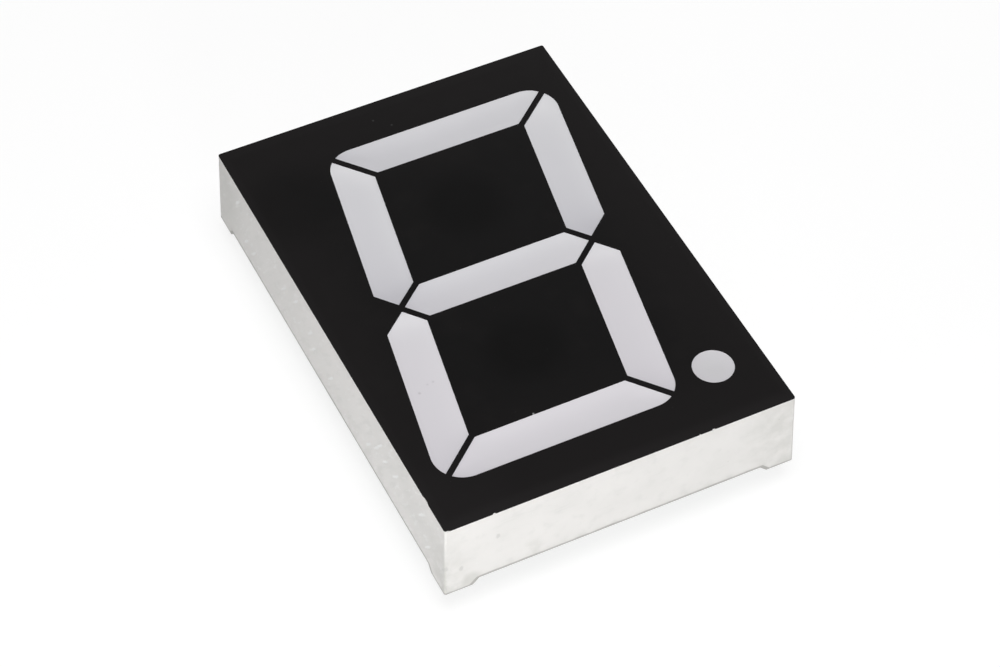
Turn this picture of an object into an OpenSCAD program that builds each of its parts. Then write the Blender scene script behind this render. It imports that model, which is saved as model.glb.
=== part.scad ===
// Single-digit seven segment LED display, 57 mm digit, through-hole package.
// The origin is the centre of the pin pattern on the seating plane under the feet.
// X runs to the right of the digit, Y towards its top and Z out of its face.

/* [Package] */
// Width of the package across the digit, at its face
package_w = 48; // [46:0.5:60]
// Length of the package along the digit, at its face
package_l = 70; // [68:0.5:90]
// Thickness from the bottom of the feet to the printed face
package_t = 12; // [10:0.1:16]
// Height of the feet below the lower edge of the walls
foot_h = 1; // [0.5:0.1:1.5]
// Length of a foot along each wall, from the corner of the face, where it meets the seating plane
foot_len = 3.4; // [2:0.1:8]
// Radius of the four upright edges
edge_r = 0.3; // [0.1:0.05:0.5]
// How far the mould's draft has spread each wall by the seating plane
draft = 0.35; // [0:0.05:0.6]

/* [Digit] */
// Height of the digit
digit_h = 57; // [48:0.1:58]
// Width of the digit between its slanted sides
digit_w = 33; // [26:0.1:34]
// Lean of the upright strokes towards the right
slant = 10; // [5:0.5:12]
// Width of a stroke measured square to it
stroke = 5.5; // [4.4:0.1:6.6]
// Width of the dark strip between two segments
gap = 0.8; // [0.6:0.05:1.2]
// Radius of the digit's four outer corners
corner_r = 4; // [3.3:0.1:5]
// Distance from the centre of the face down to the middle of the digit
digit_drop = 0.2; // [0:0.05:0.6]

/* [Decimal point] */
// Diameter of the decimal point
point_d = 5.4; // [4.4:0.1:6.5]
// Distance of the decimal point to the right of the face's centre line
point_x = 17.3; // [16.6:0.1:18.2]

/* [Lit areas] */
// Radius of the hollow that the shrinking resin leaves across the face of each lit area
hollow_r = 13.5; // [10:0.5:30]

/* [Housing] */
// Thickness of the outer walls
wall = 1.2; // [0.8:0.05:1.6]
// Thickness of the plate behind the printed face
plate_t = 1.2; // [0.8:0.1:2]
// Thickness at the face of the wall round each light well
well_wall = 0.8; // [0.5:0.05:1]
// How far each wall of a light well leans in between the face and the board
well_taper = 1; // [0.5:0.1:1.3]
// Thickness of the black ink coat on the face
coat_t = 0.1; // [0.05:0.05:0.2]

/* [Circuit board] */
// Thickness of the circuit board
board_t = 1.6; // [1:0.1:2]
// Clearance between the edge of the board and the walls
board_clear = 0.15; // [0.1:0.05:0.5]
// Thickness of the clear resin that seals the back of the board
resin_t = 1; // [0.6:0.1:1.5]
// Depth of the resin's surface above the lower edge of the walls
resin_recess = 0.4; // [0.2:0.1:1]

/* [Pins] */
// Number of pins in each of the two rows
pins_per_row = 5; // [3:1:7]
// Distance between neighbouring pins of a row
pin_pitch = 2.54; // [2:0.01:3]
// Distance between the two rows of pins
row_spacing = 60.96; // [60.9:0.01:61.2]
// Diameter of the round part of a pin
pin_d = 0.5; // [0.4:0.05:0.65]
// Length of a pin below the seating plane
pin_len = 4; // [2.5:0.1:8]
// Length of the cone at the tip of a pin
tip_len = 0.35; // [0.2:0.05:0.5]
// Diameter of the collar that stops a pin against the board
collar_d = 0.95; // [0.9:0.05:1.2]
// How far the collar stands out of the back resin
collar_out = 0.1; // [0.05:0.05:0.3]
// Side of the square shank that is pressed into the board
shank = 0.46; // [0.4:0.02:0.5]
// Clearance between the corners of the shank and the wall of its hole
shank_clear = 0.02; // [0.01:0.01:0.1]
// Height of the solder cone round a shank
solder_h = 0.7; // [0.4:0.1:0.9]
// Diameter of the solder cone on the board
solder_d = 1.5; // [1.2:0.1:1.6]
// How far a shank stands out of its solder cone
shank_out = 0.2; // [0.1:0.05:0.4]

/* [LED dies] */
// Number of dies in a segment
dies_per_segment = 4; // [2:1:4]
// Distance between the dies of a segment
die_pitch = 4.2; // [3.4:0.1:5]
// Number of dies under the decimal point
dies_per_point = 2; // [1:1:2]
// Distance between the dies under the decimal point
point_die_pitch = 1.5; // [1.2:0.1:1.6]
// Side of a square die
die_w = 0.3; // [0.2:0.02:0.4]
// Height of a die
die_h = 0.25; // [0.15:0.01:0.3]
// Thickness of a bond wire
wire_t = 0.04; // [0.03:0.005:0.05]
// Height of the top of a bond wire above its die
wire_rise = 0.25; // [0.15:0.01:0.4]
// Distance from the middle of a die to the far end of its bond wire
wire_span = 0.8; // [0.6:0.05:0.9]

/* [Hidden] */
$fn = 64;
arc_steps = 8; // straight stretches in one rounded corner of a segment or upright edge
hollow_steps = 5; // rings in the slope of a hollow
letters = "abcdefg";
PIN_NODES = [for (i = [1:2 * pins_per_row]) str("pin_", i)];
SEGMENT_NODES = [for (s = letters) str("segment_", s)];
DIE_NODES = [for (s = letters) str("led_dies_", s)];
WIRE_NODES = [for (s = letters) str("bond_wires_", s)];

// Levels, from the back to the face
resin_z = foot_h + resin_recess;
board_z = resin_z + resin_t;
board_top = board_z + board_t;
plate_top = package_t - coat_t;
pocket_top = plate_top - plate_t;
well_h = plate_top - board_top;

// Plan of the package and its board
inner = [package_w - 2 * wall, package_l - 2 * wall];
board = [inner.x - 2 * board_clear, inner.y - 2 * board_clear];
hole_d = shank * sqrt(2) + 2 * shank_clear;
shank_top = board_top + solder_h + shank_out;

// Directions on the face: the upright strokes run at lean, and the strips
// between segments run along the two bisectors of the digit's corners.
lean = 90 - slant;
rising = lean / 2;
falling = lean / 2 - 90;

function dir(angle) = [cos(angle), sin(angle)];

// Point where the line through p at angle a crosses the line through q at angle b
function meet(p, a, q, b) =
    let (across = [-sin(b), cos(b)])
    p + dir(a) * ((q - p) * across) / (dir(a) * across);

function arc(centre, r, from, to) =
    [for (i = [0:arc_steps]) centre + r * dir(from + (to - from) * i / arc_steps)];

// The digit about its own middle: its two upper corners, the centres of their
// rounding, and the point on each upright stroke where the middle one meets it
top_left = [-digit_w / 2 + digit_h / 2 * tan(slant), digit_h / 2];
top_right = [digit_w / 2 + digit_h / 2 * tan(slant), digit_h / 2];
round_left = top_left + corner_r / sin(90 - rising) * dir(falling);
round_right = top_right + corner_r / sin(rising) * dir(180 + rising);
upright_x = digit_w / 2 - stroke / 2 / cos(slant);
node_l = [-upright_x, 0];
node_r = [upright_x, 0];

// Outlines of the segments, moved in by t on every side, or out where t is negative.
// Each runs anticlockwise. d, e and c are a, b and f turned by half a turn.
function side(t) = gap / 2 + t;
function swing(t) = asin(side(t) / (corner_r - t));
function outer_edge(right, t) =
    right ? [digit_w / 2, 0] + t * dir(lean + 90) : [-digit_w / 2, 0] + t * dir(lean - 90);
function inner_edge(right, t) = outer_edge(right, stroke - t);

function outline_a(t) = concat(
    [meet(top_left + side(t) * dir(rising), falling, [0, digit_h / 2 - stroke + t], 0)],
    [meet(top_right + side(t) * dir(rising + 90), rising, [0, digit_h / 2 - stroke + t], 0)],
    arc(round_right, corner_r - t, rising + swing(t), 90),
    arc(round_left, corner_r - t, 90, rising + 90 - swing(t))
);

function outline_b(t) = concat(
    [node_r + side(t) * (dir(rising) + dir(rising + 90))],
    [meet(node_r + side(t) * dir(rising + 90), rising, outer_edge(true, t), lean)],
    arc(round_right, corner_r - t, -slant, rising - swing(t)),
    [meet(top_right + side(t) * dir(falling), rising, inner_edge(true, t), lean)],
    [meet(node_r + side(t) * dir(rising), falling, inner_edge(true, t), lean)]
);

function outline_f(t) = concat(
    [node_l + side(t) * (dir(rising) + dir(rising + 90))],
    [meet(node_l + side(t) * dir(rising + 90), rising, inner_edge(false, t), lean)],
    [meet(top_left + side(t) * dir(rising + 180), falling, inner_edge(false, t), lean)],
    arc(round_left, corner_r - t, rising + 90 + swing(t), lean + 90),
    [meet(node_l + side(t) * dir(rising), falling, outer_edge(false, t), lean)]
);

function outline_g(t) = [
    node_l + side(t) * (dir(rising) + dir(falling)),
    meet(node_l + side(t) * dir(rising), falling, [0, t - stroke / 2], 0),
    meet(node_r + side(t) * dir(rising + 90), rising, [0, t - stroke / 2], 0),
    node_r + side(t) * (dir(rising + 90) + dir(rising + 180)),
    meet(node_r + side(t) * dir(rising + 180), falling, [0, stroke / 2 - t], 0),
    meet(node_l + side(t) * dir(falling), rising, [0, stroke / 2 - t], 0)
];

function outline(s, t = 0) =
    s == "a" ? outline_a(t) : s == "b" ? outline_b(t) :
    s == "c" ? -outline_f(t) : s == "d" ? -outline_a(t) :
    s == "e" ? -outline_b(t) : s == "f" ? outline_f(t) : outline_g(t);

// Middle of a segment and the direction that its stroke runs in
quarter_y = (digit_h - stroke) / 4;
half_y = (digit_h - stroke) / 2;
function middle(s) =
    s == "a" ? [half_y * tan(slant), half_y] : s == "d" ? -middle("a") :
    s == "b" ? [upright_x + quarter_y * tan(slant), quarter_y] : s == "e" ? -middle("b") :
    s == "f" ? [quarter_y * tan(slant) - upright_x, quarter_y] : s == "c" ? -middle("f") : [0, 0];
function heading(s) = s == "a" || s == "d" || s == "g" ? 0 : lean;

point_y = point_d / 2 - digit_h / 2;

// Depth of a hollow at t inside the rim of a lit area whose width is twice half. In a
// segment it slopes over hollow_reach, which ends a little before the rounded corners
// run out, and the middle is flat.
hollow_reach = 0.95 * (corner_r * sin(rising) - gap / 2) / (1 + sin(rising));
function hollow_depth(t, half) =
    sqrt(pow(hollow_r, 2) - pow(half - t, 2)) - sqrt(pow(hollow_r, 2) - pow(half, 2));

// Places the digit's own plan on the face
module on_digit(z) {
    translate([0, -digit_drop, z]) children();
}

// Plan of the package at its face
module package_plan() {
    square([package_w, package_l - 2 * edge_r], center = true);
    square([package_w - 2 * edge_r, package_l], center = true);
    for (x = [-1, 1], y = [-1, 1])
        translate([x * (package_w / 2 - edge_r), y * (package_l / 2 - edge_r)]) circle(edge_r);
}

// Outline of the walls at height z, which the draft spreads from the face downwards
function walls_at(z) =
    let (
        out = draft * (1 - z / plate_top) - edge_r,
        x = package_w / 2 + out,
        y = package_l / 2 + out
    )
    concat(
        arc([x, y], edge_r, 0, 90), arc([-x, y], edge_r, 90, 180),
        arc([-x, -y], edge_r, 180, 270), arc([x, -y], edge_r, 270, 360)
    );

// The package between two heights, solid
module block(bottom, top) {
    loft([walls_at(bottom), walls_at(top)], [bottom, top]);
}

// A closed solid through outlines that have as many points as each other, at the
// heights given, from the bottom one to the one that closes its top
module loft(outlines, heights) {
    n = len(outlines[0]);
    last = len(outlines) - 1;
    polyhedron(
        points = [for (k = [0:last], p = outlines[k]) [p.x, p.y, heights[k]]],
        faces = concat(
            [[for (i = [0:n - 1]) i], [for (i = [n - 1:-1:0]) last * n + i]],
            [for (k = [0:last - 1], i = [0:n - 1])
                [k * n + i, (k + 1) * n + i, (k + 1) * n + (i + 1) % n, k * n + (i + 1) % n]]
        )
    );
}

// The light well of a segment and that of the decimal point, narrower at the board
module segment_well(s) {
    on_digit(board_top) loft([outline(s, well_taper), outline(s)], [0, well_h]);
}

module at_point(z) {
    on_digit(z) translate([point_x, point_y]) children();
}

module point_well() {
    at_point(board_top) cylinder(d1 = point_d - 2 * well_taper, d2 = point_d, h = well_h);
}

// Plan of the seven segments and the point, moved out by grow
module lit_plan(grow = 0) {
    translate([0, -digit_drop]) {
        for (s = letters) polygon(outline(s, -grow));
        translate([point_x, point_y]) circle(d = point_d + 2 * grow);
    }
}

// One leg of a foot, along X from the corner of the package, with a sloping inner end
module foot_leg() {
    rotate([90, 0, 0]) linear_extrude(wall + draft)
        polygon([[-draft, 0], [foot_len, 0], [foot_len + foot_h, foot_h], [-draft, foot_h]]);
}

module foot() {
    translate([-package_w / 2, wall - package_l / 2]) foot_leg();
    translate([-package_w / 2 - draft, -package_l / 2]) rotate(90) foot_leg();
}

module feet() {
    for (x = [0, 1], y = [0, 1]) mirror([x, 0]) mirror([0, y]) foot();
}

// White moulded reflector: outer walls and face plate, a walled light well for
// each segment, and pockets between the wells that are open towards the board.
module housing() {
    color("whitesmoke") {
        difference() {
            block(foot_h, plate_top);
            translate([-inner.x / 2, -inner.y / 2, 0]) cube([inner.x, inner.y, board_top]);
            pockets();
            for (s = letters) segment_well(s);
            point_well();
        }
        intersection() {
            feet();
            block(0, foot_h);
        }
    }
}

module pockets() {
    translate([0, 0, board_top]) linear_extrude(pocket_top - board_top) difference() {
        square(inner, center = true);
        lit_plan(well_wall);
    }
}

// Black ink coat on the face, open over the segments and the point
module face_coat() {
    color([0.11, 0.11, 0.11]) translate([0, 0, plate_top]) linear_extrude(coat_t) difference() {
        package_plan();
        lit_plan();
    }
}

// A row of dies or of bond wires along X, with each die and its wire taken together
// evenly spaced about the middle
module die_row(count, pitch) {
    for (i = [0:count - 1]) translate([(i - (count - 1) / 2) * pitch - wire_span / 2, 0])
        children();
}

module die() {
    translate([-die_w / 2, -die_w / 2]) cube([die_w, die_w, die_h]);
}

// A bond wire: up from the middle of its die, then slanting down to the board
module bond_wire() {
    top = die_h + wire_rise;
    translate([0, wire_t / 2]) rotate([90, 0, 0]) linear_extrude(wire_t) polygon([
        [-wire_t / 2, die_h], [wire_t / 2, die_h], [wire_t / 2, top - 2 * wire_t],
        [wire_span - wire_t / 2, 0], [wire_span + wire_t / 2, 0],
        [wire_t / 2, top], [-wire_t / 2, top]
    ]);
}

module segment_row(s) {
    on_digit(board_top) translate(middle(s)) rotate(heading(s))
        die_row(dies_per_segment, die_pitch) children();
}

module point_row() {
    at_point(board_top) die_row(dies_per_point, point_die_pitch) children();
}

module led_dies(s) {
    color([0.75, 0.25, 0.2]) segment_row(s) die();
}

module led_dies_point() {
    color([0.75, 0.25, 0.2]) point_row() die();
}

module bond_wires(s) {
    color("gold") segment_row(s) bond_wire();
}

module bond_wires_point() {
    color("gold") point_row() bond_wire();
}

// White resin that fills the light well of a segment, cast round its dies and wires
// and hollow at its face
module segment(s) {
    rings = [for (i = [0:hollow_steps]) hollow_reach * i / hollow_steps];
    color([0.84, 0.84, 0.87]) difference() {
        on_digit(board_top) loft(
            concat([outline(s, well_taper)], [for (t = rings) outline(s, t)]),
            concat([0], [for (t = rings) well_h - hollow_depth(t, stroke / 2)])
        );
        segment_row(s) die();
        segment_row(s) bond_wire();
    }
}

module decimal_point() {
    rings = [for (i = [0:hollow_steps]) point_d / 2 * i / hollow_steps];
    color([0.84, 0.84, 0.87]) difference() {
        at_point(board_top) rotate_extrude() polygon(concat(
            [[0, 0], [point_d / 2 - well_taper, 0]],
            [for (t = rings) [point_d / 2 - t, well_h - hollow_depth(t, point_d / 2)]]
        ));
        point_row() die();
        point_row() bond_wire();
    }
}

// Puts its children at the place of pin i: pin 1 is at the bottom left, and the
// numbers run to the right along the bottom row and back along the top row.
module at_pin(i) {
    low = i <= pins_per_row;
    column = low ? i - 1 : 2 * pins_per_row - i;
    translate([(column - (pins_per_row - 1) / 2) * pin_pitch, (low ? -1 : 1) * row_spacing / 2])
        children();
}

module every_pin() {
    for (i = [1:2 * pins_per_row]) at_pin(i) children();
}

// Green board that closes the light wells and carries the dies and the pins
module circuit_board() {
    color("seagreen") difference() {
        translate([-board.x / 2, -board.y / 2, board_z]) cube([board.x, board.y, board_t]);
        every_pin() translate([0, 0, board_z - 1]) cylinder(d = hole_d, h = board_t + 2);
    }
}

// Clear resin poured over the back of the board and round the collars of the pins
module back_resin() {
    color([0.85, 0.8, 0.6, 0.5]) difference() {
        translate([-inner.x / 2, -inner.y / 2, resin_z]) cube([inner.x, inner.y, resin_t]);
        every_pin() translate([0, 0, resin_z - 1]) cylinder(d = collar_d, h = resin_t + 2);
    }
}

// Tinned pin: a round leg with a cone at its tip, a collar against the board, and
// a square shank through the board
module pin(i) {
    color("silver") at_pin(i) {
        rotate_extrude() polygon([
            [0, -pin_len], [pin_d / 4, -pin_len], [pin_d / 2, tip_len - pin_len],
            [pin_d / 2, resin_z - collar_out], [collar_d / 2, resin_z - collar_out],
            [collar_d / 2, board_z], [0, board_z]
        ]);
        translate([-shank / 2, -shank / 2, board_z]) cube([shank, shank, shank_top - board_z]);
    }
}

// Solder cones that hold the shanks on the front of the board
module solder_joints() {
    color("gainsboro") every_pin() difference() {
        translate([0, 0, board_top]) cylinder(d1 = solder_d, d2 = collar_d, h = solder_h);
        translate([-shank / 2, -shank / 2, board_z]) cube([shank, shank, shank_top - board_z]);
    }
}

housing();
face_coat();
decimal_point();
circuit_board();
back_resin();
solder_joints();
led_dies_point();
bond_wires_point();
for (s = letters) {
    segment(s);
    led_dies(s);
    bond_wires(s);
}
for (i = [1:2 * pins_per_row]) {
    pin(i);
}
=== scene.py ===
"""A single seven segment display, as its pieces go together.

A white moulded box has a black printed face, light wells full of white resin, a circuit
board sealed into its back with clear resin, and two rows of tinned pins.
"""

from math import exp, inf, pi, radians, tan

import bmesh
import bpy
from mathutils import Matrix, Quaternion, Vector


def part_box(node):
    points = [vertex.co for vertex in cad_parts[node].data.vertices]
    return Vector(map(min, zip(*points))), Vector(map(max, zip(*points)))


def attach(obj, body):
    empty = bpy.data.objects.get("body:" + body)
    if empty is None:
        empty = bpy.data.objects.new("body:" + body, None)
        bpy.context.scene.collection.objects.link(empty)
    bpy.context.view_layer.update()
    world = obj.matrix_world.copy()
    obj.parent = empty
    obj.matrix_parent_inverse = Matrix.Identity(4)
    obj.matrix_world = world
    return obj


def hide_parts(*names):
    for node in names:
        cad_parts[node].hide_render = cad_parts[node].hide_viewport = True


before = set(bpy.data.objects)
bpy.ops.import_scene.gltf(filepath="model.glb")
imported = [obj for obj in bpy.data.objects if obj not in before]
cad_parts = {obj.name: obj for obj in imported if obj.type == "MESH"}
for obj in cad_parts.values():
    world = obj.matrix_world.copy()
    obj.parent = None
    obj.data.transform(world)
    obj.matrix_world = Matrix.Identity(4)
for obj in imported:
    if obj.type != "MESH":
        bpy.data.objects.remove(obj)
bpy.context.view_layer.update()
scene = bpy.context.scene
scene.view_settings.view_transform = "Standard"
MM = 0.001

# ---- View ----
# The display is looked at from above its front left corner, through a long lens that
# keeps its upright edges nearly parallel. Distances are from the middle of the face.
face_low, face_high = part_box("face_coat")
face_middle = Vector(((face_low.x + face_high.x) / 2, (face_low.y + face_high.y) / 2, face_high.z))
camera_offset = Vector((-119.5, -243.4, 298.1)) * MM
aim_offset = Vector((-4.24, -9.54, 0)) * MM
camera_roll = radians(0.24)
lens_length = 113.4
nearest_seen = 10 * MM

camera = bpy.data.objects.new("camera", bpy.data.cameras.new("camera"))
camera.data.lens = lens_length
camera.data.clip_start = nearest_seen
camera.location = face_middle + camera_offset
line_of_sight = (aim_offset - camera_offset).to_track_quat("-Z", "Y")
camera.rotation_euler = (line_of_sight @ Quaternion((0, 0, 1), camera_roll)).to_euler()
scene.collection.objects.link(camera)
scene.camera = camera


# ---- Studio ----
# A white table under the tips of the pins, and a dim pale room. A broad lamp hangs over
# the display, others stand low in front of it and behind it, and a small one lies near its
# front left corner.
class Value:
    """A shader socket that works like a number: arithmetic on it adds Math nodes."""

    def __init__(self, shader, socket):
        self.shader = shader
        self.socket = socket

    def __add__(self, other):
        return self.shader.math("ADD", self, other)

    def __sub__(self, other):
        return self.shader.math("SUBTRACT", self, other)

    def __rsub__(self, other):
        return self.shader.math("SUBTRACT", other, self)

    def __mul__(self, other):
        return self.shader.math("MULTIPLY", self, other)

    def __truediv__(self, other):
        return self.shader.math("DIVIDE", self, other)

    def __abs__(self):
        return self.shader.math("ABSOLUTE", self, 0)

    __radd__ = __add__
    __rmul__ = __mul__


class Shader:
    """The node tree of a material or a world."""

    def __init__(self, owner):
        self.owner = owner
        owner.use_nodes = True
        self.tree = owner.node_tree
        self.tree.nodes.clear()

    def node(self, kind, settings=None, inputs=None, output=0):
        """Adds a node, sets it, fills its sockets and returns one of its outputs."""
        made = self.tree.nodes.new("ShaderNode" + kind)
        for name, setting in (settings or {}).items():
            setattr(made, name, setting)
        for name, value in (inputs or {}).items():
            if isinstance(value, Value):
                self.tree.links.new(value.socket, made.inputs[name])
            else:
                made.inputs[name].default_value = value
        return Value(self, made.outputs[output]) if made.outputs else None

    def math(self, operation, first, second):
        """Works out something from two numbers or values."""
        return self.node("Math", {"operation": operation}, {0: first, 1: second})


def rays_that_see(shader):
    """1 for rays from the camera, from gloss and through glass, and 0 for light on the object."""
    seen = 0
    for kind in ("Is Camera Ray", "Is Glossy Ray", "Is Transmission Ray"):
        seen = seen + shader.node("LightPath", output=kind)
    return shader.math("MINIMUM", seen, 1)


pure_white = (1, 1, 1, 1)
room_level = 0.15
world = Shader(bpy.data.worlds.new("room"))
scene.world = world.owner
seen_level = room_level + rays_that_see(world) * (1 - room_level)
room = world.node("Background", None, {"Color": pure_white, "Strength": seen_level})
world.node("OutputWorld", None, {"Surface": room})

table_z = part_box("pin_1")[0].z
table_half = 1.5
table_white = (0.8, 0.8, 0.8, 1)
glow_strength = 1.2
glow_share = 0.68
table_mesh = bmesh.new()
bmesh.ops.create_grid(table_mesh, x_segments=1, y_segments=1, size=table_half)
bmesh.ops.translate(table_mesh, verts=table_mesh.verts, vec=(0, 0, table_z))
table_data = bpy.data.meshes.new("table")
table_mesh.to_mesh(table_data)
table_mesh.free()
table_paint = Shader(bpy.data.materials.new("table_paint"))
paint = table_paint.node("BsdfDiffuse", None, {"Color": table_white})
glow = table_paint.node("Emission", None, {"Color": pure_white, "Strength": glow_strength})
seen_share = rays_that_see(table_paint) * glow_share
surface = table_paint.node("MixShader", None, {0: seen_share, 1: paint, 2: glow})
table_paint.node("OutputMaterial", None, {"Surface": surface})
table_data.materials.append(table_paint.owner)
table = bpy.data.objects.new("table", table_data)
scene.collection.objects.link(table)

# The square lamps: where each stands and how wide it is, in mm, and its power in watts.
lamps = {
    "overhead_lamp": ((-40, -120, 450), 250, 1.13),
    "front_lamp": ((-80, -430, 90), 150, 0.66),
    "back_lamp": ((260, 420, 90), 150, 0.5),
    "corner_lamp": ((-125, -85, 30), 30, 0.037),
}
for name, (place, width, power) in lamps.items():
    lamp = bpy.data.objects.new(name, bpy.data.lights.new(name, "AREA"))
    lamp.data.size = width * MM
    lamp.data.energy = power
    lamp.location = Vector(place) * MM
    lamp.rotation_euler = (face_middle - lamp.location).to_track_quat("-Z", "Y").to_euler()
    scene.collection.objects.link(lamp)


# ---- Housing ----
# The box, its light wells and its four feet are one moulding of white polycarbonate, satin
# outside. A grey line of painted shadow runs along its lower edge, with a soft band of painted
# shade above it, and the walls are darker and blotchy towards the seat. Handling has nicked
# and scuffed the walls. The left wall has a painted pool of light in its middle, and painted
# shade darkens the walls towards their ends and corners and on their rounded upright edges,
# with one soiled patch on the front wall.
class Finish(Shader):
    """A material for a piece, with distances in millimetres."""

    # The share of a speck's radius, and of a spot's reach, that is solid before it fades.
    speck_core = 0.6
    spot_core = 0.35

    def __init__(self, name):
        super().__init__(bpy.data.materials.new(name))
        self.metres = self.node("TexCoord", output="Object")
        self.place = self.stretched(1000, 1000, 1000)

    def stretched(self, x, y, z):
        """The place in metres times a number for each axis: 1000 gives millimetres."""
        scale = {0: self.metres, 1: (x, y, z)}
        return self.node("VectorMath", {"operation": "MULTIPLY"}, scale)

    def axis(self, index):
        """One part of the place: 0 for across, 1 for along and 2 for above the seat."""
        return self.node("SeparateXYZ", None, {0: self.place}, output=index)

    def grain(self, size, detail=2, where=None):
        """Noise from 0 to 1 whose features are about a size in millimetres."""
        inputs = {"Vector": where or self.place, "Scale": 1 / size, "Detail": detail}
        return self.node("TexNoise", None, inputs)

    def rise(self, value, low, high):
        """Goes smoothly from 0 to 1 as the value goes from low to high."""
        inputs = {"Value": value, "From Min": low, "From Max": high}
        return self.node("MapRange", {"interpolation_type": "SMOOTHSTEP"}, inputs)

    def specks(self, spacing, radius):
        """1 in round specks of about a radius, scattered at a spacing, and 0 between them."""
        distance = self.node("TexVoronoi", None, {"Vector": self.place, "Scale": 1 / spacing})
        return self.rise(distance, radius / spacing, self.speck_core * radius / spacing)

    def near(self, place, reach, where=None):
        """1 round a place given in millimetres, falling to 0 at a reach from it."""
        ends = {0: where or self.place, 1: place}
        gap = self.node("VectorMath", {"operation": "DISTANCE"}, ends, output="Value")
        return self.rise(gap, reach, self.spot_core * reach)

    def blend(self, share, first, second):
        """One colour turning into another."""
        colours = [c if isinstance(c, Value) else (*c, 1) for c in (first, second)]
        inputs = {0: share, 6: colours[0], 7: colours[1]}
        return self.node("Mix", {"data_type": "RGBA"}, inputs, output=2)

    def layered(self, colour, layers):
        """A colour with others over it, each given after the share of it that shows."""
        for share, cover in layers:
            colour = self.blend(share, colour, cover)
        return colour

    def coat(self, colour, roughness, bumps, tallest, **sockets):
        """Closes the material with a surface on which a bump of 1 stands a height in mm."""
        bump = {"Height": bumps, "Distance": tallest * MM, "Strength": 1.0}
        inputs = {"Base Color": colour, "Roughness": roughness}
        inputs["Normal"] = self.node("Bump", None, bump)
        inputs.update({name.replace("_", " "): value for name, value in sockets.items()})
        self.node("OutputMaterial", None, {"Surface": self.node("BsdfPrincipled", None, inputs)})
        return self.owner


touching = 0.001 * MM
close = 0.01 * MM
flat_turn = radians(0.3)
flat_part = 0.998


def moulded_copy(node):
    """The mesh of a CAD node with its triangles joined into whole faces."""
    mesh = bmesh.new()
    mesh.from_mesh(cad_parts[node].data)
    bmesh.ops.remove_doubles(mesh, verts=mesh.verts, dist=touching)
    edges = [edge for edge in mesh.edges if edge.is_manifold and edge.calc_face_angle() < flat_turn]
    bmesh.ops.dissolve_edges(mesh, edges=edges, use_verts=True)
    return mesh


def round_off(mesh, edges, radius, segments):
    """Rounds edges of a mesh."""
    bmesh.ops.bevel(
        mesh,
        geom=edges,
        offset=radius,
        offset_type="OFFSET",
        segments=segments,
        profile=0.5,
        affect="EDGES",
        material=-1,
        clamp_overlap=True,
    )


def new_piece(name, mesh, material, smooth):
    """An object of a mesh, with the faces that the smooth test picks shaded as curved."""
    for face in mesh.faces:
        face.smooth = smooth(face)
    data = bpy.data.meshes.new(name)
    mesh.to_mesh(data)
    mesh.free()
    data.materials.append(material)
    made = bpy.data.objects.new(name, data)
    scene.collection.objects.link(made)
    return made


def curved(face):
    """True for the narrow faces of a rounded edge."""
    return max(abs(part) for part in face.normal) < flat_part


wall_side, wall_end, plate_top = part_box("housing")[1] / MM
draft = 0.35
foot_height = 1.0
foot_length = 3.4
lower_edge_round = 0.12


def on_left_wall(along, height):
    """The place on the left wall at a distance along it and a height above the seat, in mm."""
    return Vector((draft * height / plate_top - wall_side, along, height))


def on_front_wall(along, height):
    """The place on the front wall at a distance along it and a height above the seat, in mm."""
    return Vector((along, draft * height / plate_top - wall_end, height))


plastic = Finish("white_plastic")
cloud = plastic.grain(7, 3)
fine_cloud = plastic.grain(1.6, 3)
above_seat = plastic.axis(2)
side_gap = wall_side - abs(plastic.axis(0))
end_gap = wall_end - abs(plastic.axis(1))
from_corner = plastic.math("MAXIMUM", side_gap, end_gap)
past_foot = plastic.math("MAXIMUM", from_corner - foot_length, 0)
above_rim = above_seat - plastic.math("MINIMUM", past_foot, foot_height)
rounded_edge = plastic.rise(from_corner, 0.42, 0.12)
on_outside = plastic.rise(plastic.math("MINIMUM", side_gap, end_gap), 0.25, 0.1)
on_side = plastic.rise(side_gap, 0.7, 0.4)
# A grey line of painted shadow along the lower rim of the walls.
painted_rim_shadow = plastic.rise(above_rim - 0.25 * plastic.grain(2.5, 2), 0.26, 0.08) * on_outside
# Darker and blotchy towards the seat, and a soft band of painted shade just above the rim.
low_darkening_and_painted_rim_shade = plastic.rise(above_seat, 3.2, 0.2) * plastic.rise(fine_cloud, 0.35, 0.7)
low_darkening_and_painted_rim_shade = low_darkening_and_painted_rim_shade + plastic.rise(above_rim, 1.0, 0.1) * on_outside
scratch = plastic.rise(plastic.grain(1, 2, plastic.stretched(160, 160, 1900)), 0.62, 0.72)
scratch = scratch * plastic.rise(cloud, 0.45, 0.62) * (1 - on_side)
patches = plastic.rise(fine_cloud, 0.5, 0.75) * (0.45 - 0.3 * on_side)
# A painted pool of light in the middle of the left wall.
painted_light_pool = plastic.near(on_left_wall(-3, 3), 26)

mark_slope = radians(-50)
scuff_stretch = 4
nick_stretch = 6


def along_marks(stretch):
    """The place in a frame that is turned and stretched along the marks on the walls."""
    marks = {"Vector": plastic.place, "Rotation": (mark_slope, 0, 0), "Scale": (1, stretch, 1)}
    return plastic.node("Mapping", {"vector_type": "TEXTURE"}, marks)


scuffed = along_marks(scuff_stretch)
scuffs = plastic.rise(plastic.grain(0.55, 4, scuffed), 0.52, 0.7) * on_side
scuffs = scuffs * plastic.rise(plastic.grain(3, 2), 0.35, 0.6)
smears = plastic.rise(plastic.grain(1, 3, scuffed), 0.48, 0.7) * on_side

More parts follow.
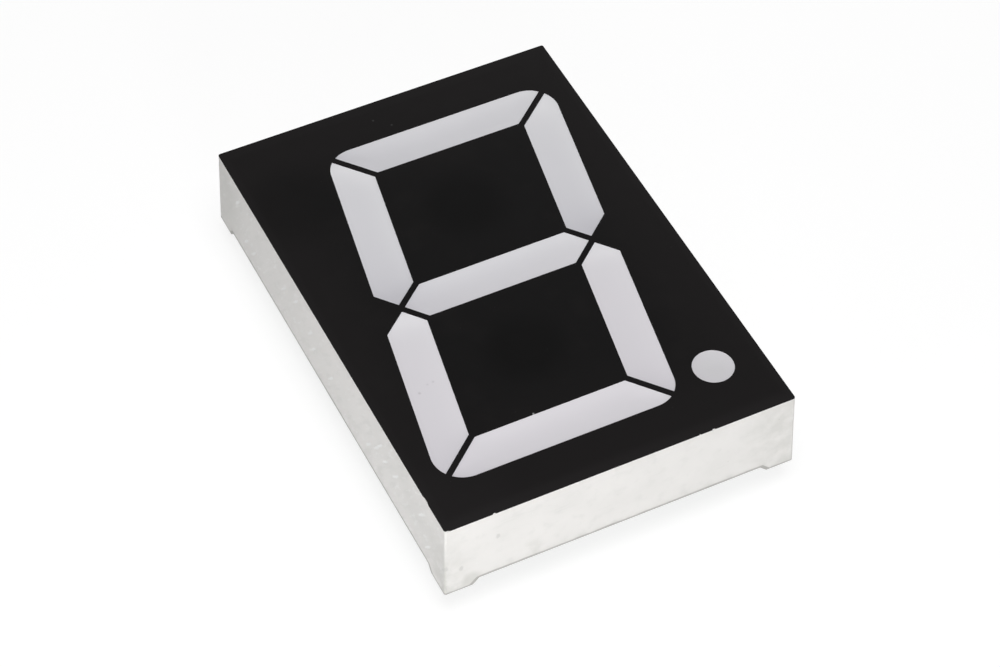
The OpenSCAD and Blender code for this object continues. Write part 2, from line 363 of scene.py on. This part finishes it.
# Nicks that show white in the left wall and dark specks in the front wall, as the distance
# along the wall and the height above the seat, in mm. A wobble makes their outlines ragged.
left_nicks = [
    (28.5, 9), (26, 4), (23.5, 4), (13.5, 7), (9.5, 8.5), (5, 7), (4, 5), (-1.5, 5),
    (-13, 4.5), (-15.5, 6.5), (-16.5, 8), (-18, 6.5), (-21, 7), (-28.5, 8), (-30.5, 4),
]
front_specks = [(-24, 5), (-22, 4), (-17, 7.5)]
nick_radius = 0.28
speck_radius = 0.4
wobble_scale = 2.2
wobble_size = 0.3
wobble = plastic.node("TexNoise", None, {"Vector": plastic.place, "Scale": wobble_scale}, output="Color")
wobbled = {0: wobble, 1: (wobble_size,) * 3, 2: along_marks(nick_stretch)}
ragged = plastic.node("VectorMath", {"operation": "MULTIPLY_ADD"}, wobbled)
middle_of_wobble = Vector((wobble_size / 2,) * 3)


def in_ragged_frame(place):
    """Where a place is in the ragged frame of the nicks."""
    turned = Quaternion((1, 0, 0), -mark_slope) @ place
    return Vector((turned.x, turned.y / nick_stretch, turned.z)) + middle_of_wobble


nicked = 0
for along, height in left_nicks:
    nicked = nicked + plastic.near(in_ragged_frame(on_left_wall(along, height)), nick_radius, ragged)
specked = 0
for along, height in front_specks:
    specked = specked + plastic.near(in_ragged_frame(on_front_wall(along, height)), speck_radius, ragged)

# Spots of painted shade at the ends and corners of the walls and at the inner end of the
# front left foot, and one soiled patch low on the front wall at -12.5 mm: the place and reach
# in mm, how strong each is and, where it is blotchy, the levels of the fine cloud between
# which it comes up.
shade_and_soil_spots = [
    (on_left_wall(36, 6), 11, 0.5, None),
    ((-30, -37, 5), 11, 0.6, (0.2, 0.6)),
    (on_front_wall(26, 7), 11, 0.42, (0.2, 0.6)),
    (on_front_wall(-20.7, 1.3), 1.7, 0.6, (0.2, 0.45)),
    (on_front_wall(-12.5, 3), 2.2, 0.3, (0.3, 0.6)),
    ((-27.5, -35, 2), 4.5, 0.8, (0.35, 0.55)),
]
# Painted shade on the rounded upright edges, which takes away their highlight.
soil_and_painted_shade = 0.65 * rounded_edge
for place, reach, strength, levels in shade_and_soil_spots:
    spot = strength * plastic.near(place, reach)
    soil_and_painted_shade = soil_and_painted_shade + (spot * plastic.rise(fine_cloud, *levels) if levels else spot)

bright_white = (0.88, 0.863, 0.842)
dull_white = (0.835, 0.822, 0.80)
dusty_grey = (0.77, 0.765, 0.74)
# What lies over the plain white, from the lowest up: how much of it shows, and its colour.
white_layers = [
    (patches, dusty_grey),
    (painted_light_pool * 0.32, (0.94, 0.915, 0.895)),
    (smears * 0.4, dusty_grey),
    (scuffs * 0.65, (0.97, 0.965, 0.95)),
    (plastic.specks(1.5, 0.09) * 0.5, (0.95, 0.95, 0.94)),
    (plastic.specks(4.0, 0.13) * 0.35, (0.45, 0.44, 0.41)),
    (low_darkening_and_painted_rim_shade * 0.3, (0.58, 0.575, 0.55)),
    (scratch * 0.18, (0.70, 0.70, 0.68)),
    (soil_and_painted_shade, (0.64, 0.635, 0.60)),
    (nicked, (0.99, 0.99, 0.98)),
    (specked * 0.35, (0.45, 0.45, 0.43)),
    (painted_rim_shadow * 0.8, (0.38, 0.37, 0.35)),
]
white = plastic.blend(plastic.rise(cloud, 0.3, 0.75), bright_white, dull_white)
white = plastic.layered(white, white_layers)
plastic_roughness = 0.38 + 0.12 * cloud + 0.1 * scratch
plastic_bumps = 0.6 * plastic.grain(0.16, 2) + 0.4 * plastic.grain(2.5, 1) - 0.3 * scratch - 3 * nicked
white_plastic = plastic.coat(white, plastic_roughness, plastic_bumps, 0.012, IOR=1.5)

mesh = moulded_copy("housing")
sharp_turn = radians(20)
rim_depth = 0.4
upright_rise = 0.9 * foot_height


def is_lower_rim(edge):
    """True for the edges round the outside of the box where its walls turn under."""
    if not edge.is_manifold or edge.calc_face_angle() < sharp_turn:
        return False
    ends = [vert.co / MM for vert in edge.verts]
    low = all(end.z < foot_height + close / MM for end in ends)
    outside = all(wall_side - abs(end.x) < rim_depth or wall_end - abs(end.y) < rim_depth for end in ends)
    return low and outside and abs(ends[0].z - ends[1].z) <= upright_rise


round_off(mesh, [edge for edge in mesh.edges if is_lower_rim(edge)], lower_edge_round * MM, 3)
housing = new_piece("white_housing", mesh, white_plastic, curved)
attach(housing, "root")
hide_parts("housing")

# ---- Printed face ----
# The face is screen printed with matte black ink that leaves the light wells open.
# The ink is densest inside the figure and thinner and worn near its border. It is chipped at
# its front and left edges and nicked at the upper edge of the lowest segment.
face_side, face_end = face_high.xy / MM
ink = Finish("black_ink")
ink_grain = ink.grain(0.25, 3)
ink_cloud = ink.grain(5, 2)
from_middle = ink.math("MAXIMUM", abs(ink.axis(0)) / face_side, abs(ink.axis(1)) / face_end)
border = ink.rise(from_middle, 0.45, 0.95)
dense = ink.near((1.5, 12.5, plate_top), 7.5) + ink.near((-2.5, -13, plate_top), 7.5)
dense = dense + 0.5 * ink.near((-18.5, 22, plate_top), 9)
worn = 0.2 * ink.rise(from_middle, 0.94, 0.98) + 0.3 * ink.rise(ink.axis(1), -32.5, -face_end)
worn = worn + 0.25 * ink.near((-face_side, -face_end, plate_top), 14)
dust_grey = (0.04, 0.04, 0.04)
nick_grey = (0.4, 0.4, 0.4)
black_layers = [
    (border * 0.7, (0.0105, 0.0092, 0.0094)),
    (ink.rise(ink_cloud, 0.45, 0.8) * 0.4, (0.012, 0.011, 0.011)),
    (dense * 0.8, (0.0014, 0.0013, 0.0013)),
    (worn, (0.018, 0.0165, 0.017)),
    (ink.specks(2.6, 0.07) * 0.3, (0.06, 0.06, 0.06)),
    (ink.near((-2.9, 31.8, plate_top), 0.25), dust_grey),
    (ink.near((-1.0, 30.0, plate_top), 0.25), dust_grey),
    (ink.near((-6.3, -23.1, plate_top), 0.22), nick_grey),
]
black = ink.blend(ink_grain, (0.003, 0.0028, 0.0029), (0.0055, 0.0051, 0.0053))
black = ink.layered(black, black_layers)
ink_roughness = 0.55 + 0.15 * ink_cloud
ink_bumps = ink_grain + ink.grain(1.2, 1)
black_ink = ink.coat(black, ink_roughness, ink_bumps, 0.006, Specular_IOR_Level=0.05)


def upright(face):
    """True for the faces of an upright wall."""
    return abs(face.normal.z) < 0.5


def cut_across(mesh, faces, place, normal, snap=0):
    """Cuts faces of a mesh along a plane."""
    parts = set(faces)
    for face in faces:
        parts.update(face.edges)
        parts.update(face.verts)
    bmesh.ops.bisect_plane(mesh, geom=list(parts), plane_co=place, plane_no=normal, dist=snap)


# Chips in the edges of the ink: the axis they run along, and their place, length and depth
# in mm. The ink is cut at four shares of a chip's length, and the two middle cuts move in.
chips = [
    (0, -23.75, 0.9, 0.16),
    (0, -17.4, 0.5, 0.16),
    (0, 10.6, 0.2, 0.16),
    (0, 12.5, 0.5, 0.16),
    (1, -29.6, 1.6, 0.1),
]
cut_shares = (-1 / 2, -1 / 6, 1 / 4, 1 / 2)
moved_share = 0.4
moved_width = 0.35 * MM
mesh = moulded_copy("face_coat")
for along, *measures in chips:
    place, length, chip_depth = (measure * MM for measure in measures)
    across = 1 - along
    edge_place = face_low[across]
    normal = Vector((1 - along, along, 0))
    for share in cut_shares:
        at_edge = [f for f in mesh.faces if min(v.co[across] for v in f.verts) < edge_place + close]
        cut_across(mesh, at_edge, (place + share * length) * normal, normal)
    for vert in mesh.verts:
        inside = abs(vert.co[along] - place) < moved_share * length
        if inside and vert.co[across] < edge_place + moved_width:
            vert.co[across] += chip_depth
face_coat = new_piece("black_face", mesh, black_ink, upright)
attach(face_coat, "root")
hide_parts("face_coat")

# ---- Circuit board ----
# A green board of glass fibre carries the dies, with copper tracks on its back under the
# solder mask. It closes the light wells from behind.
mask = Finish("solder_mask")
weave_scale = 0.6
weave = mask.node("TexWave", {"bands_direction": "X"}, {"Vector": mask.place, "Scale": weave_scale})
weft = mask.node("TexWave", {"bands_direction": "Y"}, {"Vector": mask.place, "Scale": weave_scale})
cloth = weave * weft
green = mask.blend(mask.grain(3, 2), (0.012, 0.12, 0.045), (0.018, 0.17, 0.065))
green = mask.blend(cloth * 0.25, green, (0.03, 0.21, 0.09))
mask_bumps = 0.3 * cloth + mask.grain(0.5, 2)
green_mask = mask.coat(green, 0.3 + 0.1 * mask.grain(1.5), mask_bumps, 0.01)
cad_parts["circuit_board"].data.materials[0] = green_mask

covered = Finish("covered_copper")
shade = covered.grain(1.2, 2)
light_green = covered.blend(shade, (0.03, 0.26, 0.1), (0.045, 0.33, 0.13))
covered_copper = covered.coat(light_green, 0.28 + 0.1 * shade, covered.grain(0.4, 2), 0.008)


def lift(mesh, parts, height):
    """Moves the corners among some parts of a mesh up."""
    corners = [part for part in parts if isinstance(part, bmesh.types.BMVert)]
    bmesh.ops.translate(mesh, verts=corners, vec=(0, 0, height))


back_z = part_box("circuit_board")[0].z
track_height = 0.05 * MM
track_width = 0.7 * MM
sunk = 0.02 * MM
# Each track runs from its pin to the back of the board behind a segment, in mm.
tracks = {
    "pin_1": [(-5.08, -30.48), (-9, -26.5), (-14.5, -21), (-16.5, -14)],
    "pin_2": [(-2.54, -30.48), (-4.5, -28), (-4.5, -25.7)],
    "pin_3": [(0, -30.48), (0, -18), (2.5, -14), (2.5, 12), (0, 16), (0, 30.48)],
    "pin_4": [(2.54, -30.48), (6, -26), (11.5, -20), (11.5, -13)],
    "pin_5": [(5.08, -30.48), (9, -30.48), (14, -26)],
    "pin_6": [(5.08, 30.48), (9, 26.5), (14, 21), (16.5, 14)],
    "pin_7": [(2.54, 30.48), (4.5, 28), (4.5, 25.7)],
    "pin_9": [(-2.54, 30.48), (-6, 26), (-11.5, 20), (-11.5, 13)],
    "pin_10": [(-5.08, 30.48), (-19, 20), (-19, 3), (-7, 0)],
}
mesh = bmesh.new()
for route in tracks.values():
    verts = [mesh.verts.new((x * MM, y * MM, back_z - track_height)) for x, y in route]
    edges = [mesh.edges.new(pair) for pair in zip(verts, verts[1:])]
    lift(mesh, bmesh.ops.extrude_edge_only(mesh, edges=edges)["geom"], track_height + sunk)
bmesh.ops.solidify(mesh, geom=mesh.faces, thickness=track_width)
bmesh.ops.recalc_face_normals(mesh, faces=mesh.faces)
copper_tracks = new_piece("copper_tracks", mesh, covered_copper, lambda face: False)
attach(copper_tracks, "root")

# ---- LED dies and bond wires ----
# Each segment has four red dies in a row on the board and the point has two. A gold wire
# is welded to the top of each die and runs down to the board. The resin hides them.
chip = Finish("led_die")
chip_shade = chip.grain(0.08, 2)
red = chip.blend(chip_shade, (0.42, 0.10, 0.07), (0.62, 0.2, 0.13))
led_die = chip.coat(red, 0.18 + 0.15 * chip_shade, chip.grain(0.02, 1), 0.0008)
thread = Finish("gold_wire")
thread_shade = thread.grain(0.05, 2)
gold = thread.blend(thread_shade, (0.80, 0.56, 0.20), (0.92, 0.72, 0.33))
gold_wire = thread.coat(gold, 0.15 + 0.2 * thread_shade, thread_shade, 0.0006, Metallic=1.0)
for lit_area in [*"abcdefg", "point"]:
    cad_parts["led_dies_" + lit_area].data.materials[0] = led_die
    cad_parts["bond_wires_" + lit_area].data.materials[0] = gold_wire

# ---- Pins ----
# Ten pins of tin plated brass wire: a round leg with a rounded tip, a collar that stops
# against a tinned pad on the board and a square shank, pressed through the board and
# soldered in front.
tin = Finish("tin_plating")
tin_cloud = tin.grain(0.5, 3)
drawn = tin.grain(1, 2, tin.stretched(9000, 9000, 500))
silver = tin.blend(tin_cloud, (0.66, 0.66, 0.66), (0.80, 0.80, 0.79))
silver = tin.blend(tin.rise(tin.grain(1.5, 2), 0.6, 0.75) * 0.4, silver, (0.5, 0.49, 0.46))
tin_roughness = 0.24 + 0.2 * tin_cloud + 0.1 * drawn
tinned = tin.coat(silver, tin_roughness, drawn + tin_cloud, 0.004, Metallic=1.0)

leg_radius = 0.25 * MM
tip_round = 0.16 * MM
collar_radius = 0.475 * MM
collar_low = 1.3 * MM
collar_bevel = 0.07 * collar_radius
shank_side = 0.46 * MM
shank_round = 0.04 * MM
shank_start = back_z - 0.1 * MM
sides = 32
pin_places = []
for number in range(1, 11):
    low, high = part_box(f"pin_{number}")
    pin_place = Vector(((low.x + high.x) / 2, (low.y + high.y) / 2, 0))
    pin_places.append(pin_place)
    profile = [
        (0, low.z),
        (leg_radius - tip_round, low.z),
        (leg_radius - 0.3 * tip_round, low.z + 0.4 * tip_round),
        (leg_radius, low.z + 1.6 * tip_round),
        (leg_radius, collar_low),
        (collar_radius - collar_bevel, collar_low),
        (collar_radius, collar_low + collar_bevel),
        (collar_radius, back_z),
        (0, back_z),
    ]
    mesh = bmesh.new()
    verts = [mesh.verts.new((radius, 0, z)) for radius, z in profile]
    edges = [mesh.edges.new(pair) for pair in zip(verts, verts[1:])]
    bmesh.ops.spin(
        mesh,
        geom=verts + edges,
        axis=(0, 0, 1),
        cent=(0, 0, 0),
        angle=2 * pi,
        steps=sides,
        use_merge=True,
    )
    bmesh.ops.remove_doubles(mesh, verts=mesh.verts, dist=touching)
    bmesh.ops.recalc_face_normals(mesh, faces=mesh.faces)
    shank = bmesh.ops.create_cube(mesh, size=shank_side)["verts"]
    shank_length = high.z - shank_start
    bmesh.ops.scale(mesh, verts=shank, vec=(1, 1, shank_length / shank_side))
    bmesh.ops.translate(mesh, verts=shank, vec=(0, 0, high.z - shank_length / 2))
    round_off(mesh, list({edge for vert in shank for edge in vert.link_edges}), shank_round, 2)
    bmesh.ops.translate(mesh, verts=mesh.verts, vec=pin_place)
    pin = new_piece(f"tinned_pin_{number}", mesh, tinned, lambda face: abs(face.normal.z) < 0.9)
    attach(pin, "root")
    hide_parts(f"pin_{number}")

pad_radius = 0.85 * MM
pad_height = 0.07 * MM
mesh = bmesh.new()
for place in pin_places:
    pad = bmesh.ops.create_circle(mesh, cap_ends=True, radius=pad_radius, segments=sides)["verts"]
    bmesh.ops.translate(mesh, verts=pad, vec=(place.x, place.y, back_z - pad_height))
lift(mesh, bmesh.ops.extrude_face_region(mesh, geom=list(mesh.faces))["geom"], pad_height + sunk)
bmesh.ops.recalc_face_normals(mesh, faces=mesh.faces)
pads = new_piece("tinned_pads", mesh, tinned, upright)
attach(pads, "root")

# ---- Solder joints ----
# A cone of solder holds each shank on the front of the board, inside the housing. It is
# bright tin alloy, slightly clouded where it cooled.
joint = Finish("bright_solder")
joint_cloud = joint.grain(0.35, 3)
solder = joint.blend(joint_cloud, (0.68, 0.69, 0.70), (0.82, 0.83, 0.84))
bright_solder = joint.coat(solder, 0.18 + 0.2 * joint_cloud, joint_cloud, 0.01, Metallic=1.0)
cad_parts["solder_joints"].data.materials[0] = bright_solder

# ---- Lit areas ----
# Milky white resin fills the light wells, faintly violet in the figure and greyer in the
# round point. It sets to a smooth shallow hollow. Painted shade darkens each well at its near
# end, and painted light whitens it at its far end and along one long edge. The lower left well
# has dust in it.
milk = Finish("milky_resin")
milk_cloud = milk.grain(6, 2)
# The resin's tone with painted shade and painted light, stored on each well's mesh.
tone_and_painted_light = milk.node("Attribute", {"attribute_name": "tone_and_painted_light"}, output="Fac")
point_middle = sum(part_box("decimal_point"), Vector()) / (2 * MM)
dust_violet = (0.35, 0.33, 0.36)
milky_layers = [
    (milk.rise(milk.axis(1), 4, -10) * 0.5, (0.850, 0.808, 0.855)),
    (milk.near(point_middle, 7) * 0.5, (0.695, 0.708, 0.694)),
    (milk.specks(2.2, 0.06) * 0.3, (0.92, 0.92, 0.93)),
    (milk.near((-15.1, -12.8, plate_top), 0.35) * 0.4, dust_violet),
    (milk.near((-15.9, -12.9, plate_top), 0.35) * 0.4, dust_violet),
    (milk.near((-17.4, -13.8, plate_top), 0.35) * 0.4, dust_violet),
]
milky = milk.blend(tone_and_painted_light + 0.12 * (milk_cloud - 0.5), (0.655, 0.645, 0.69), (0.90, 0.895, 0.92))
milky = milk.layered(milky, milky_layers)
milk_bumps = milk.grain(3.5, 1) + 0.1 * milk.grain(0.3, 2)
milky_resin = milk.coat(milky, 0.3 + 0.08 * milk.grain(2), milk_bumps, 0.01, IOR=1.5)

# The tone goes from 0 to 1, at a base level for the segments and a lower one for the point.
# Long wells and wide ones lose some of it at their near end as painted shade and gain some at
# their far end as painted light, and each gains painted light along the edge that catches the
# light.
long_loss, long_gain = 0.84, 0.80
wide_loss, wide_gain = 0.50, 0.27
lit_side_gain = 0.24
segment_level = 0.57
point_level = 0.08
near_end_reach = 5.0 * MM
far_end_reach = 2.6 * MM
lit_side_reach = 1.6 * MM
lean = tan(radians(10))
large_well = 10 * MM
clearly_longer = 1 * MM

hollow_depth = 0.25 * MM
hollow_reach = 2.75 * MM
hollow_cell = 0.35 * MM
deepest_facet = 1 * MM
rim_width = 0.02 * MM
smoothing_passes = 8


def resin_tone_and_painted_light(place, low, high):
    """The resin's tone at a place in a well, from 0 to 1, with painted shade at the near end and painted
    light at the far end and the lit side.
    """
    tall = high.y - low.y > high.x - low.x + clearly_longer
    axis = 1 if tall else 0
    loss, gain = (long_loss, long_gain) if tall else (wide_loss, wide_gain)
    middle = segment_level if high[axis] - low[axis] > large_well else point_level
    from_near_end = place[axis] - low[axis]
    from_far_end = high[axis] - place[axis]
    from_lit_side = high.x - place.x - lean * (high.y - place.y) if tall else high.y - place.y
    ends = gain * exp(-from_far_end / far_end_reach) - loss * exp(-from_near_end / near_end_reach)
    return middle + ends + lit_side_gain * exp(-max(from_lit_side, 0) / lit_side_reach)


def from_edge(place, rim):
    """Distance from a place to the nearest stretch of a rim, in plan."""
    nearest = inf
    for start, along in rim:
        offset = place - start
        share = min(max(offset.dot(along) / along.length_squared, 0), 1)
        nearest = min(nearest, (offset - share * along).length)
    return nearest


def cut_into_cells(mesh, picked, low, high, cell, snap=0):
    """Cuts the faces that a test picks into cells of about a size, between two corners."""
    for axis in (0, 1):
        normal = Vector((1 - axis, axis, 0))
        count = int((high[axis] - low[axis]) / cell)
        for index in range(1, count):
            along = low[axis] + (high[axis] - low[axis]) * index / count
            cut_across(mesh, [face for face in mesh.faces if picked(face)], along * normal, normal, snap)


def hollowed_copy(node):
    """The resin of one well, with a fine smooth hollow in place of the faceted one."""
    mesh = moulded_copy(node)
    low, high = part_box(node)

    def at_top(face):
        """True for the flat faces at the top of the well."""
        return face.normal.z > 0.9 and face.calc_center_median().z > high.z - close

    facets = [
        face
        for face in mesh.faces
        if face.normal.z > 0.5 and min(vert.co.z for vert in face.verts) > high.z - deepest_facet
    ]
    bmesh.ops.delete(mesh, geom=facets, context="FACES")
    rim = [edge for edge in mesh.edges if edge.is_boundary]
    face = bmesh.ops.contextual_create(mesh, geom=rim)["faces"][0]
    if face.normal.z < 0:
        face.normal_flip()
    stretches = [(e.verts[0].co.xy, e.verts[1].co.xy - e.verts[0].co.xy) for e in rim]
    cut_into_cells(mesh, at_top, low, high, hollow_cell, close)
    hollow = []
    for vert in mesh.verts:
        if vert.co.z > high.z - touching:
            distance = from_edge(vert.co.xy, stretches)
            if distance > rim_width:
                share = min(distance / hollow_reach, 1)
                vert.co.z -= hollow_depth * (1 - (1 - share) ** 2)
                hollow.append(vert)
    for _ in range(smoothing_passes):
        bmesh.ops.smooth_vert(mesh, verts=hollow, factor=0.5, use_axis_z=True)
    # Each corner keeps the resin's tone with painted shade and painted light.
    tone_and_painted_light = mesh.verts.layers.float.new("tone_and_painted_light")
    for vert in mesh.verts:
        vert[tone_and_painted_light] = resin_tone_and_painted_light(vert.co, low, high)
    return mesh


for lit_area in ["segment_" + letter for letter in "abcdefg"] + ["decimal_point"]:
    mesh = hollowed_copy(lit_area)
    resin = new_piece("resin_" + lit_area, mesh, milky_resin, lambda face: face.normal.z > 0.5)
    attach(resin, "root")
    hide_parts(lit_area)

# ---- Back resin ----
# Clear, faintly yellow resin is poured over the back of the board to seal it and to hold
# the pins. It climbs a little up the walls and round each pin before it sets.
clear = Finish("clear_resin")
amber = clear.blend(clear.grain(9, 2), (0.93, 0.88, 0.70), (0.96, 0.93, 0.79))
clear_roughness = 0.04 + 0.06 * clear.grain(4)
glassy = {"Transmission_Weight": 1.0, "IOR": 1.5}
clear_resin = clear.coat(amber, clear_roughness, clear.grain(5, 1), 0.02, **glassy)

resin_low, resin_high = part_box("back_resin")
back_cell = 0.6 * MM
climb = 0.15 * MM
climb_reach = 0.6 * MM
climb_share_at_pins = 0.7
mesh = bmesh.new()
bmesh.ops.create_cube(mesh, size=1)
bmesh.ops.scale(mesh, verts=mesh.verts, vec=resin_high - resin_low)
bmesh.ops.translate(mesh, verts=mesh.verts, vec=(resin_low + resin_high) / 2)
cut_into_cells(mesh, lambda face: face.normal.z < -0.9, resin_low, resin_high, back_cell)
for vert in mesh.verts:
    if vert.co.z < resin_low.z + close:
        wall_gap = min(*(vert.co - resin_low).xy, *(resin_high - vert.co).xy)
        pin_gap = min((vert.co.xy - place.xy).length for place in pin_places) - collar_radius
        at_wall = exp(-wall_gap / climb_reach)
        at_pin = climb_share_at_pins * exp(-max(pin_gap, 0) / climb_reach)
        vert.co.z -= climb * (at_wall + at_pin)
    else:
        vert.co.z += sunk
potting = new_piece("clear_back_resin", mesh, clear_resin, lambda face: face.normal.z < -0.5)
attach(potting, "root")
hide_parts("back_resin")
